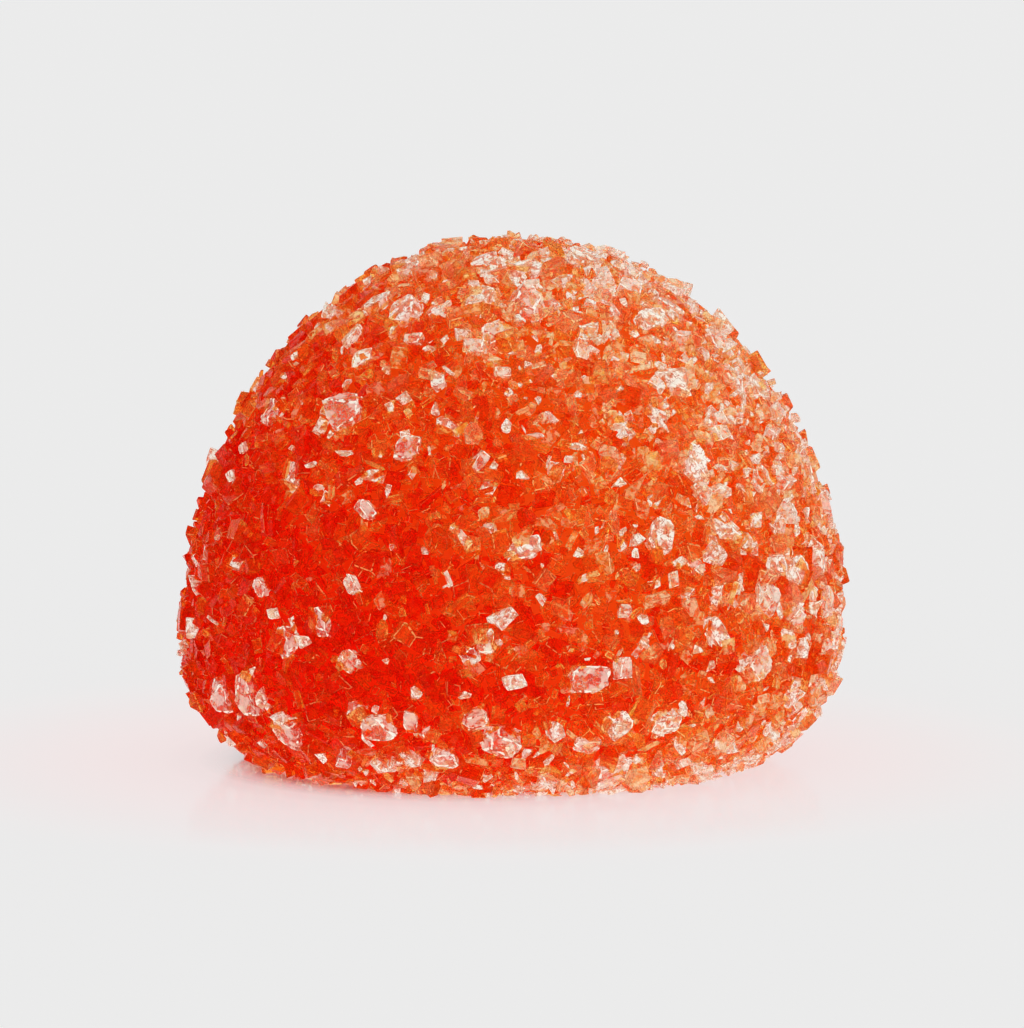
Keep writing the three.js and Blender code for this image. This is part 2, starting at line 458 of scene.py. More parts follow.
def outline(level, angle):
    """Radius and height of the dome's outline in the direction of an angle about the upright axis."""
    foot = FOOT_ROUND * (1 + FOOT_LEAN * math.cos(angle))
    if level < EDGE_OF_BASE:
        return (BELLY_RADIUS - foot) * (level - MIDDLE_OF_BASE), 0.0
    turn = level * QUARTER_TURN
    if level < BELLY:
        return BELLY_RADIUS - foot * (1 - math.sin(turn)), foot * (1 - math.cos(turn))
    return BELLY_RADIUS * math.sin(turn), foot - (BODY_HEIGHT - foot) * math.cos(turn)


def level_at(height, angle):
    """The level at which the dome's outline has a given height."""
    foot = FOOT_ROUND * (1 + FOOT_LEAN * math.cos(angle))
    reach = foot if height < foot else BODY_HEIGHT - foot
    return math.acos(clamp((foot - height) / reach, -1.0, 1.0)) / QUARTER_TURN


def surface_point(level, angle):
    radius, height = outline(level, angle)
    return Vector((radius * math.cos(angle), radius * math.sin(angle), height))


def surface_normal(level, angle):
    """The direction straight out of the dome, from the outline's slope."""
    step = 1e-3
    low_radius, low_height = outline(level - step, angle)
    high_radius, high_height = outline(level + step, angle)
    outward, upward = high_height - low_height, low_radius - high_radius
    return Vector((outward * math.cos(angle), outward * math.sin(angle), upward)).normalized()


def front_point(across, up):
    """Where the line of sight at across and up meets the front of the dome, as a level and an angle."""
    level, angle = BELLY, -QUARTER_TURN
    for _ in range(FRONT_STEPS):
        radius = outline(level, angle)[0]
        depth = math.sqrt(max(0.0, radius**2 - across**2))
        angle = math.atan2(-depth, across)
        level = level_at((up + depth * math.sin(FRONT_SLOPE)) / math.cos(FRONT_SLOPE), angle)
    return level, angle


def spread_points(count, draw, jitter, covered=1.0, lowest=MIDDLE_OF_BASE, start=0.0):
    """Points spread evenly by area from the top down, along a spiral of golden angles."""
    steps = STEPS_PER_LEVEL * (TOP - lowest)
    levels = [TOP - (TOP - lowest) * i / steps for i in range(steps + 1)]
    area = [0.0]
    for upper, lower in zip(levels, levels[1:]):
        upper_radius, upper_height = outline(upper, QUARTER_TURN)
        lower_radius, lower_height = outline(lower, QUARTER_TURN)
        slant = math.hypot(upper_radius - lower_radius, upper_height - lower_height)
        area.append(area[-1] + math.pi * slant * (upper_radius + lower_radius))
    whole = area[-1] * covered
    spacing = math.sqrt(whole / count)
    golden_angle = math.pi * (3 - math.sqrt(5))
    points = []
    for i in range(count):
        level = float(np.interp(whole * (i + 0.5) / count, area, levels))
        radius = max(spacing, outline(level, QUARTER_TURN)[0])
        aside = between((-jitter, jitter), draw()) * spacing / radius
        points.append((level, start + i * golden_angle + aside))
    return points


def painted_lightness(point):
    """How pale the crust is painted: 0 at the low left, in painted shade, and 1 at the top right, in painted
    light from the key light.
    """
    across = PALER_RIGHT * point.x / BELLY_RADIUS
    up = PALER_UP * (point.z - MIDDLE_HEIGHT) / MIDDLE_HEIGHT
    foot = PALER_FOOT * clamp(1 - point.z / FOOT_HEIGHT)
    return clamp(PALE_MIDDLE + across + up + foot, 0.0, PALEST)


# ---------------------------------------------------------------- crystals


@dataclass
class Crystal:
    at: tuple  # level and angle on the dome
    size: tuple  # length, width and thickness
    turn: float
    lean: float
    lift: float  # from the dome's surface to the crystal's middle
    color: tuple = (1.0, 1.0, 1.0)
    edge_frost_and_highlight: float = 0.0  # how pale its worn edges are painted: frosted wear and a painted highlight


def cut_by_plane(bm, point, normal):
    """Cuts off what lies beyond a plane, and closes the cut."""
    parts = bm.verts[:] + bm.edges[:] + bm.faces[:]
    cut = bmesh.ops.bisect_plane(bm, geom=parts, plane_co=point, plane_no=normal, clear_outer=True)
    edges = [part for part in cut["geom_cut"] if isinstance(part, bmesh.types.BMEdge)]
    if edges:
        bmesh.ops.contextual_create(bm, geom=edges)


def as_arrays(bm):
    """A finished bmesh as its points, its triangles and which of them are worn edges."""
    bmesh.ops.recalc_face_normals(bm, faces=bm.faces[:])
    bmesh.ops.triangulate(bm, faces=bm.faces[:])
    bm.verts.index_update()
    points = np.array([vert.co[:] for vert in bm.verts])
    triangles = np.array([[vert.index for vert in face.verts] for face in bm.faces])
    worn = np.array([face.material_index for face in bm.faces])
    bm.free()
    return points, triangles, worn


def wear_edges(bm, rand, width, share):
    """Bevels a share of the edges, and marks the new faces as worn."""
    bmesh.ops.remove_doubles(bm, verts=bm.verts[:], dist=SAME_POINT)
    edges = [edge for edge in bm.edges if rand.random() < share]
    if not edges:
        return
    made = bmesh.ops.bevel(
        bm,
        geom=edges,
        offset=width,
        segments=1,
        profile=0.5,
        affect="EDGES",
        material=-1,
    )
    for face in made["faces"]:
        face.material_index = 1


def block_shape(seed, corners, width, share):
    """A unit crystal: a slightly crooked block with some corners or edges cut off."""
    rand = np.random.default_rng(seed)
    bm = bmesh.new()
    bmesh.ops.create_cube(bm, size=1.0)
    for vert in bm.verts:
        vert.co += Vector(rand.uniform(-BLOCK_CROOKED, BLOCK_CROOKED, 3))
    for _ in range(corners):
        side = np.sign(rand.uniform(-1, 1, 3))
        slope = rand.uniform(*CORNER_SLOPE, 3)
        if rand.random() < CUT_EDGE_SHARE:
            slope[rand.integers(0, 3)] = 0.0
        normal = Vector(side * slope).normalized()
        corner = Vector(side * 0.5 * (slope > 0))
        cut_by_plane(bm, corner - normal * rand.uniform(*CORNER_DEPTH), normal)
    wear_edges(bm, rand, width, share)
    return as_arrays(bm)


def shard_shape(seed, width, share):
    """A unit crystal broken in two: a crooked block with a slanting break on one or two sides."""
    rand = np.random.default_rng(seed)
    bm = bmesh.new()
    bmesh.ops.create_cube(bm, size=1.0)
    for vert in bm.verts:
        vert.co += Vector(rand.uniform(-SHARD_CROOKED, SHARD_CROOKED, 3))
    for side in (-1, 1):
        slants = [rand.uniform(-BREAK_SLANT, BREAK_SLANT) for _ in range(2)]
        normal = Vector((side, *slants)).normalized()
        cut_by_plane(bm, Vector((side * rand.uniform(*BREAK_PLACE), 0, 0)), normal)
    wear_edges(bm, rand, width, share)
    return as_arrays(bm)


def chip_shape(seed, width, share):
    """A unit crystal broken all round: a block cut by planes in any direction."""
    rand = np.random.default_rng(seed)
    bm = bmesh.new()
    bmesh.ops.create_cube(bm, size=CHIP_SIDE)
    for _ in range(CHIP_CUTS):
        normal = Vector(rand.normal(size=3)).normalized()
        cut_by_plane(bm, normal * rand.uniform(*CHIP_PLACE), normal)
    wear_edges(bm, rand, width, share)
    return as_arrays(bm)


def standout_shape(seed):
    """A unit crystal seen closely: two corners cut off, worn edges, and faces that aren't quite flat."""
    rand = np.random.default_rng(seed)
    bm = bmesh.new()
    bmesh.ops.create_cube(bm, size=1.0)
    for side in (-1, 1):
        normal = side * Vector((*STANDOUT_CORNER, 0)).normalized()
        corner = Vector((side * 0.5, -side * 0.5, 0))
        cut_by_plane(bm, corner - normal * rand.uniform(*STANDOUT_DEPTH), normal)
    for _ in range(STANDOUT_CUTS):
        normal = Vector(rand.normal(size=3)).normalized()
        cut_by_plane(bm, normal * rand.uniform(*STANDOUT_PLACE), normal)
    wear_edges(bm, rand, *STANDOUT_WEAR)
    bmesh.ops.triangulate(bm, faces=bm.faces[:])
    long_edges = [edge for edge in bm.edges if edge.calc_length() > STANDOUT_LONG_EDGE]
    bmesh.ops.subdivide_edges(bm, edges=long_edges, cuts=3, use_grid_fill=True)
    for vert in bm.verts:
        vert.co += Vector(rand.normal(0, STANDOUT_UNEVEN, 3))
    return as_arrays(bm)


def warped(points, rand, amount):
    """A unit crystal's points, moved smoothly so that no two crystals of a shape are alike."""
    corner = rand.uniform(-amount, amount, (2, 2, 2, 3))
    share = np.clip(points + 0.5, 0, 1)
    moved = points.copy()
    for i, j, k in np.ndindex(2, 2, 2):
        weight = np.ones(len(points))
        for axis, high in enumerate((i, j, k)):
            weight *= share[:, axis] if high else 1 - share[:, axis]
        moved += weight[:, None] * corner[i, j, k]
    return moved


def setting(crystal):
    """How a unit crystal is set on the dome: its 3 by 3 matrix and its middle."""
    level, angle = crystal.at
    normal = surface_normal(level, angle)
    sideways = Vector((-math.sin(angle), math.cos(angle), 0))
    basis = Matrix((sideways, normal.cross(sideways), normal)).transposed()
    shear = Matrix(((1, 0, CRYSTAL_SHEAR), (0, 1, 0), (0, 0, 1)))
    turned = basis @ Matrix.Rotation(crystal.turn, 3, "Z") @ Matrix.Rotation(crystal.lean, 3, "X")
    return turned @ shear @ Matrix.Diagonal(crystal.size), surface_point(level, angle) + normal * crystal.lift


def add_object(name, mesh, materials):
    """Links a finished mesh as a piece that rides on the part's one body."""
    for material in materials:
        mesh.materials.append(material)
    piece = bpy.data.objects.new(name, mesh)
    bpy.context.scene.collection.objects.link(piece)
    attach(piece, "root")
    return piece


def add_crystals(name, crystals, shapes, materials, warp=0.1, seed=1):
    """Joins crystals as one mesh, with each one's tint and how pale its worn edges are painted (frost and
    painted highlight) in an attribute.
    """
    rand = np.random.default_rng(seed)
    points, triangles, tints, worn = [], [], [], []
    first = 0
    for crystal in crystals:
        shape_points, shape_triangles, shape_worn = shapes[rand.integers(len(shapes))]
        matrix, middle = setting(crystal)
        set_points = warped(shape_points, rand, warp) @ np.array(matrix).T + np.array(middle)
        if set_points[:, 2].max() < LEAST_HEIGHT:
            continue
        points.append(set_points)
        triangles.append(shape_triangles + first)
        tints.append(np.tile((*crystal.color, crystal.edge_frost_and_highlight), (len(shape_triangles), 1)))
        worn.append(shape_worn)
        first += len(set_points)
    points = np.concatenate(points)
    points[:, 2] = np.maximum(points[:, 2], 0.0)  # the table presses the lowest ones flat
    triangles = np.concatenate(triangles)

    mesh = bpy.data.meshes.new(name)
    mesh.vertices.add(len(points))
    mesh.vertices.foreach_set("co", points.ravel())
    mesh.loops.add(triangles.size)
    mesh.loops.foreach_set("vertex_index", triangles.ravel().astype(np.int32))
    mesh.polygons.add(len(triangles))
    mesh.polygons.foreach_set("loop_start", np.arange(0, triangles.size, 3, dtype=np.int32))
    mesh.update(calc_edges=True)
    mesh.shade_flat()
    tint = mesh.attributes.new("tint", "FLOAT_COLOR", "FACE")
    tint.data.foreach_set("color", np.concatenate(tints).astype(np.float32).ravel())
    piece = add_object(name, mesh, materials)
    mesh.polygons.foreach_set("material_index", np.concatenate(worn).astype(np.int32))
    piece.visible_shadow = False
    piece.visible_diffuse = False  # so that the light reaches what lies under the crust
    return piece


def stain_and_paint_light(sugar, crystal, rand):
    """Gives a crystal the syrup's tint, varied at random, and painted light: deeper in the painted shade at
    the low left, paler in the painted light at the top right.
    """
    stops = [0.0, 0.35, 0.7, 1.0]
    colors = [sugar.deep_shaded_color, sugar.syrup_color, sugar.amber_color, sugar.pale_color]
    pale = painted_lightness(surface_point(*crystal.at))
    amount = pale + rand.uniform(-STAIN_SPREAD, STAIN_SPREAD) + PALER_OUTSIDE * crystal.lift
    crystal.color = tuple(float(np.interp(amount, stops, [color[i] for color in colors])) for i in range(3))
    # The pale of the worn edges, partly a painted highlight, grows with the painted light.
    crystal.edge_frost_and_highlight = clamp((RIM_LEAST + RIM_GAIN * pale) * rand.random())
    return crystal


def keep_clean(sugar, crystal, rand):
    """Gives a crystal the colour of clean sugar, with a trace of the syrup behind it."""
    trace = TRACE_OF_SYRUP * rand.random() ** 2
    crystal.color = tuple(
        clean * (1 - trace) + pale * trace for clean, pale in zip(sugar.clean_color, sugar.pale_color)
    )
    crystal.edge_frost_and_highlight = 1.0
    return crystal


def is_clean(sugar, crystal, rand, factor=1.0):
    """Whether a crystal is clean sugar: the paler the crust is painted by painted light, the more of them
    are.
    """
    pale = painted_lightness(surface_point(*crystal.at))
    return rand.random() < factor * sugar.clean_share * (CLEAN_LEAST + CLEAN_GAIN * pale**3)


def ordinary_crystals(sugar):
    """The crystals of the ordinary size, sorted by kind: block, shard, edged, hazy, clear and frosted."""
    draw = seeded_random(33)
    rand = np.random.default_rng(34)
    kinds = {"block": [], "shard": [], "edged": [], "hazy": [], "clear": [], "frosted": []}
    for at in spread_points(sugar.crystal_count, draw, 0.9):
        length = between(sugar.crystal_size, rand.random() ** ORDINARY_EXPONENT)
        width = length * rand.uniform(*ORDINARY_WIDTH_SHARE)
        if rand.random() < LONG_SHARE:
            length, width = length * LONG_STRETCH, length * rand.uniform(*LONG_WIDTH_SHARE)
        size = (length, width, width * rand.uniform(*THICKNESS_SHARE))
        lean = rand.uniform(-ORDINARY_LEAN, ORDINARY_LEAN)
        turn = rand.uniform(0, math.pi)
        lift = rand.uniform(*ORDINARY_LIFT) + (ON_TOP_LIFT if rand.random() < ON_TOP_SHARE else 0.0)
        crystal = Crystal(at, size, turn, lean, lift * MM)
        pale = painted_lightness(surface_point(*at))
        if is_clean(sugar, crystal, rand):
            kind = "frosted" if rand.random() < sugar.frosted_share else "clear"
            keep_clean(sugar, crystal, rand)
            crystal.lift += CLEAN_RAISED
        else:
            hazy, edged, broken = rand.random(), rand.random(), rand.random()
            # Painted light: hazy crystals come more often where the crust is painted paler.
            if hazy < sugar.hazy_share * pale**1.5:
                kind = "hazy"
            elif edged < sugar.edged_share:
                kind = "edged"
            else:
                kind = "shard" if broken < BROKEN_SHARE else "block"
            stain_and_paint_light(sugar, crystal, rand)
        kinds[kind].append(crystal)
    return kinds


def small_crystal(rand, at, lengths, width_share, lifts):
    """A grain or a sparkle, turned any way, with its middle between two lifts in millimetres."""
    length = between(lengths, rand.random() ** SMALL_EXPONENT)
    width = length * rand.uniform(*width_share)
    size = (length, width, width * rand.uniform(*THICKNESS_SHARE))
    lift = rand.uniform(*lifts) * MM
    return Crystal(at, size, rand.uniform(0, math.pi), rand.uniform(-SMALL_LEAN, SMALL_LEAN), lift)


def fine_grains(sugar):
    """Small stained grains between the crystals."""
    draw = seeded_random(21)
    rand = np.random.default_rng(22)
    grains = []
    for at in spread_points(sugar.grain_count, draw, 1.0):
        grain = small_crystal(rand, at, sugar.grain_size, GRAIN_WIDTH_SHARE, GRAIN_LIFT)
        grains.append(stain_and_paint_light(sugar, grain, rand))
    return grains


def sparkles(sugar):
    """Small clean crystals on top of the crust, most of them where it is painted paler: painted light."""
    draw = seeded_random(51)
    rand = np.random.default_rng(52)
    chosen = []
    for at in spread_points(sugar.sparkle_count, draw, 1.0, lowest=EDGE_OF_BASE):
        sparkle = small_crystal(rand, at, sugar.sparkle_size, SPARKLE_WIDTH_SHARE, SPARKLE_LIFT)
        pale = painted_lightness(surface_point(*at))
        # Painted light: the paler the painted crust, the more sparkles are kept.
        if rand.random() < clamp(SPARKLES_WHERE_PALE * pale**2, SPARKLES_AT_LEAST):
            chosen.append(keep_clean(sugar, sparkle, rand))
    return chosen


def large_crystals():
    """The standout crystals and the other large ones, set where the solid model has them."""
    draw = seeded_random(LARGE_SEED)
    standouts = []
    for across, up, length, width, turn in STANDOUTS:
        size = (length * MM, width * MM, width * MM * STANDOUT_THICKNESS)
        lean = between((-LARGE_TILT, LARGE_TILT), draw()) / 2
        at = front_point(across * MM, up * MM)
        standouts.append(Crystal(at, size, math.radians(turn), lean, -LARGE_SUNK * size[2]))
    taken = [surface_point(*crystal.at) for crystal in standouts]
    others = []
    for at in spread_points(LARGE_COUNT, draw, LARGE_JITTER, LARGE_COVERED, EDGE_OF_BASE):
        length = between(LARGE_LENGTH, draw() ** 2)
        width = length * between(LARGE_WIDTH_SHARE, draw())
        thickness = width * between(LARGE_THICKNESS_SHARE, draw())
        turn = math.pi * draw()
        lean = between((-LARGE_TILT, LARGE_TILT), draw())
        point = surface_point(*at)
        if all((point - other).length >= CLEARANCE for other in taken):
            others.append(Crystal(at, (length, width, thickness), turn, lean, -LARGE_SUNK * thickness))
    return standouts, others


# ---------------------------------------------------------------- materials


def link(tree, source, target):
    tree.links.new(source, target)


def new_material(name):
    """An empty material: its tree and its output."""
    material = bpy.data.materials.new(name)
    material.use_nodes = True
    tree = material.node_tree
    tree.nodes.clear()
    return material, tree, tree.nodes.new("ShaderNodeOutputMaterial")


def math_node(tree, operation, first, second):
    """A Math node's result. Each operand is a number or another node's socket."""
    node = tree.nodes.new("ShaderNodeMath")
    node.operation = operation
    for socket, value in zip(node.inputs, (first, second)):
        if isinstance(value, (int, float)):
            socket.default_value = value
        else:
            link(tree, value, socket)
    return node.outputs[0]


def mix_colors(tree, factor, first, second):
    """A Mix node's colour. The factor and the colours are values or other nodes' sockets."""
    node = tree.nodes.new("ShaderNodeMix")
    node.data_type = "RGBA"
    for index, value in ((0, factor), (6, first), (7, second)):
        if isinstance(value, bpy.types.NodeSocket):
            link(tree, value, node.inputs[index])
        elif index == 0:
            node.inputs[0].default_value = value
        else:
            node.inputs[index].default_value = (*value, 1.0)
    return node.outputs[2]


def ramp_node(tree, value, start, end, low=0.0, high=1.0):
    """A Map Range node's result, clamped and smooth at both ends."""
    node = tree.nodes.new("ShaderNodeMapRange")
    node.interpolation_type = "SMOOTHSTEP"
    for index, number in ((1, start), (2, end), (3, low), (4, high)):
        node.inputs[index].default_value = number
    link(tree, value, node.inputs[0])
    return node.outputs[0]


def flaws_group():
    """Node group: what is uneven in every crystal, as masks and as a height for bumps."""
    name = "Crystal Flaws"
    if name in bpy.data.node_groups:
        return bpy.data.node_groups[name]
    group = bpy.data.node_groups.new(name, "ShaderNodeTree")
    for label in ("Stain Scale", "Crease Scale"):
        group.interface.new_socket(label, in_out="INPUT", socket_type="NodeSocketFloat")
    for label in ("Stain", "Patch", "Break", "Crease", "Height"):
        group.interface.new_socket(label, in_out="OUTPUT", socket_type="NodeSocketFloat")
    inputs = group.nodes.new("NodeGroupInput")
    outputs = group.nodes.new("NodeGroupOutput")
    place = group.nodes.new("ShaderNodeTexCoord")
    noises = []
    for label in ("Stain Scale", "Crease Scale"):
        noise = group.nodes.new("ShaderNodeTexNoise")
        noise.inputs["Detail"].default_value = 2.0
        link(group, place.outputs["Object"], noise.inputs["Vector"])
        link(group, inputs.outputs[label], noise.inputs["Scale"])
        noises.append(noise.outputs["Fac"])
    off_middle = math_node(group, "ABSOLUTE", math_node(group, "SUBTRACT", noises[1], 0.5), 0.0)
    link(group, ramp_node(group, noises[0], 0.45, 0.62), outputs.inputs["Stain"])
    link(group, ramp_node(group, noises[0], 0.42, 0.54, 1.0, 0.0), outputs.inputs["Patch"])
    link(group, ramp_node(group, noises[1], 0.4, 0.55), outputs.inputs["Break"])
    link(group, ramp_node(group, off_middle, 0.005, 0.03, 1.0, 0.0), outputs.inputs["Crease"])
    link(group, noises[1], outputs.inputs["Height"])
    return group


def add_flaws(tree, stain_scale, crease_scale):
    node = tree.nodes.new("ShaderNodeGroup")
    node.node_tree = flaws_group()
    node.inputs["Stain Scale"].default_value = stain_scale
    node.inputs["Crease Scale"].default_value = crease_scale
    return node


def add_bump(tree, height, strength, distance, shader):
    bump = tree.nodes.new("ShaderNodeBump")
    bump.inputs["Strength"].default_value = strength
    bump.inputs["Distance"].default_value = distance
    link(tree, height, bump.inputs["Height"])
    link(tree, bump.outputs["Normal"], shader.inputs["Normal"])


def let_deep_light_through(tree, shader, color, output, depth):
    """After a few bounces light goes straight on and is only tinted, so the crust stays bright inside."""
    path = tree.nodes.new("ShaderNodeLightPath")
    clear = tree.nodes.new("ShaderNodeBsdfTransparent")
    mix = tree.nodes.new("ShaderNodeMixShader")
    link(tree, mix_colors(tree, path.outputs["Diffuse Depth"], color, (1.0, 1.0, 1.0)), clear.inputs["Color"])
    link(tree, math_node(tree, "GREATER_THAN", path.outputs["Ray Depth"], depth), mix.inputs[0])
    link(tree, shader.outputs[0], mix.inputs[1])
    link(tree, clear.outputs[0], mix.inputs[2])
    link(tree, mix.outputs[0], output.inputs["Surface"])


@dataclass
class Sugar:
    name: str
    gloss_color: tuple
    stain_color: tuple
    stain_share: float
    frost_color: tuple
    crease_syrup_and_shade: float  # how dark the creases are painted: syrup in them and painted shade
    crease_frost: float = 0.0  # how opaque the frost is along them
    patch_frost: float = 0.0  # how opaque it is in patches
    edge_syrup_and_shade: float = 0.4  # how dark the worn edges are painted where they aren't frosted: syrup and painted shade
    glow: float = 0.0  # strength of the painted red glow that lightens the crust's shade
    transmission: float = 0.9
    roughness: float = 0.12
    ior: float = 1.45


# Painted glow: a faint red emission that lifts the dark gaps of the crust; the sugar is no lamp.
PAINTED_RED_GLOW = (1.0, 0.1, 0.01)
# Dark syrup red painted along the creases and worn edges: partly syrup, partly painted shade for the dark
# lines between crystal faces.
SYRUP_AND_PAINTED_SHADE = (0.5, 0.05, 0.005)
SYRUP_SUGAR = Sugar(
    name="Syrup Sugar",
    gloss_color=(1.0, 0.35, 0.12),
    stain_color=(1.0, 0.25, 0.04),
    stain_share=0.5,
    frost_color=(1.0, 0.72, 0.36),
    crease_syrup_and_shade=0.7,
    edge_syrup_and_shade=0.6,
    glow=0.03,
)
HAZY_SUGAR = Sugar(
    name="Hazy Sugar",
    gloss_color=(1.0, 0.8, 0.5),
    stain_color=(1.0, 0.42, 0.08),
    stain_share=0.6,
    frost_color=(1.0, 0.88, 0.62),
    crease_syrup_and_shade=0.45,
    crease_frost=0.3,
    patch_frost=0.45,
    edge_syrup_and_shade=0.55,
    glow=0.02,
    transmission=0.85,
    roughness=0.2,
    ior=1.4,
)
CLEAR_SUGAR = Sugar(
    name="Clear Sugar",
    gloss_color=(1.0, 0.95, 0.9),
    stain_color=(1.0, 0.55, 0.22),
    stain_share=0.4,
    frost_color=(1.0, 0.96, 0.87),
    crease_syrup_and_shade=0.3,
    crease_frost=0.45,
    patch_frost=0.5,
)
FROSTED_SUGAR = Sugar(
    name="Frosted Sugar",
    gloss_color=(1.0, 0.95, 0.9),
    stain_color=(1.0, 0.58, 0.3),
    stain_share=0.6,
    frost_color=(1.0, 0.97, 0.89),
    crease_syrup_and_shade=0.8,
    patch_frost=0.9,
    transmission=0.7,
    roughness=0.2,
    ior=1.5,
)


def crystal_materials(sugar, flaw_size=1.0):
    """Sugar that light goes through, tinted crystal by crystal and frosted in places, and its worn edges."""
    materials = []
    for name in (sugar.name, sugar.name + " Edges"):
        material, tree, output = new_material(name)
        tint = tree.nodes.new("ShaderNodeAttribute")
        tint.attribute_name = "tint"
        flaws = add_flaws(tree, STAIN_SCALE / flaw_size, CREASE_SCALE / flaw_size)
        stained = math_node(tree, "MULTIPLY", flaws.outputs["Stain"], sugar.stain_share)
        glass = tree.nodes.new("ShaderNodeBsdfPrincipled")
        color = mix_colors(tree, stained, tint.outputs["Color"], sugar.stain_color)
        # Painted shade: thin crease lines and worn edges are darkened towards deep red, beside the syrup in
        # them.
        crease_syrup_and_shade = math_node(tree, "MULTIPLY", flaws.outputs["Crease"], sugar.crease_syrup_and_shade)
        deepest = crease_syrup_and_shade if name == sugar.name else sugar.edge_syrup_and_shade
        color = mix_colors(tree, deepest, color, SYRUP_AND_PAINTED_SHADE)
        link(tree, color, glass.inputs["Base Color"])
        glass.inputs["Transmission Weight"].default_value = sugar.transmission
        frost = tree.nodes.new("ShaderNodeBsdfPrincipled")
        frost_color = mix_colors(tree, TINT_IN_FROST, sugar.frost_color, tint.outputs["Color"])
        link(tree, frost_color, frost.inputs["Base Color"])
        for shader in (glass, frost):
            shader.inputs["Roughness"].default_value = sugar.roughness
            shader.inputs["IOR"].default_value = sugar.ior
            shader.inputs["Specular Tint"].default_value = (*sugar.gloss_color, 1.0)
            shader.inputs["Emission Color"].default_value = (*PAINTED_RED_GLOW, 1.0)
            shader.inputs["Emission Strength"].default_value = sugar.glow
            add_bump(tree, flaws.outputs["Height"], BUMP_STRENGTH, BUMP_DISTANCE, shader)
        if name == sugar.name:
            creases = math_node(tree, "MULTIPLY", flaws.outputs["Crease"], sugar.crease_frost)
            patches = math_node(tree, "MULTIPLY", flaws.outputs["Patch"], sugar.patch_frost)
            frosted = math_node(tree, "MAXIMUM", creases, math_node(tree, "SUBTRACT", patches, crease_syrup_and_shade))
        else:
            # Worn edges frosted pale in patches: wear and a painted highlight along the edges.
            frosted = math_node(tree, "MULTIPLY", flaws.outputs["Break"], tint.outputs["Alpha"])
        mix = tree.nodes.new("ShaderNodeMixShader")
        link(tree, frosted, mix.inputs[0])
        link(tree, glass.outputs[0], mix.inputs[1])
        link(tree, frost.outputs[0], mix.inputs[2])
        let_deep_light_through(tree, mix, tint.outputs["Color"], output, BOUNCES_BEFORE_CLEAR)
        materials.append(material)
    return materials


def jelly_material(jelly):
    """Fruit jelly: red and cloudy, with painted shade deeper at the low left and painted light at the top
    right, and with the light that it lets by in its shade.
    """
    material, tree, output = new_material("Fruit Jelly")
    shader = tree.nodes.new("ShaderNodeBsdfPrincipled")
    shader.subsurface_method = "BURLEY"
    shader.inputs["Roughness"].default_value = 0.3
    shader.inputs["Subsurface Weight"].default_value = 1.0
    shader.inputs["Subsurface Radius"].default_value = (1.0, 0.35, 0.1)
    shader.inputs["Subsurface Scale"].default_value = 3 * MM
    shader.inputs["Specular IOR Level"].default_value = 0.1
    place = tree.nodes.new("ShaderNodeTexCoord")
    split = tree.nodes.new("ShaderNodeSeparateXYZ")
    link(tree, place.outputs["Object"], split.inputs[0])
    # Painted shade at the low left and painted light at the top right, along the diagonal of X and Z.
    diagonal = math_node(tree, "ADD", split.outputs["X"], split.outputs["Z"])
    light = ramp_node(tree, diagonal, -6 * MM, 16 * MM)
    link(tree, mix_colors(tree, light, jelly.deep_shaded_color, jelly.lit_side_color), shader.inputs["Base Color"])

    path = tree.nodes.new("ShaderNodeLightPath")
    through = tree.nodes.new("ShaderNodeBsdfTransparent")
    through.inputs["Color"].default_value = (*jelly.glow_color, 1.0)
    mix = tree.nodes.new("ShaderNodeMixShader")
    link(tree, math_node(tree, "MULTIPLY", path.outputs["Is Shadow Ray"], jelly.glow), mix.inputs[0])
    link(tree, shader.outputs[0], mix.inputs[1])
    link(tree, through.outputs[0], mix.inputs[2])
    link(tree, mix.outputs[0], output.inputs["Surface"])
    return material


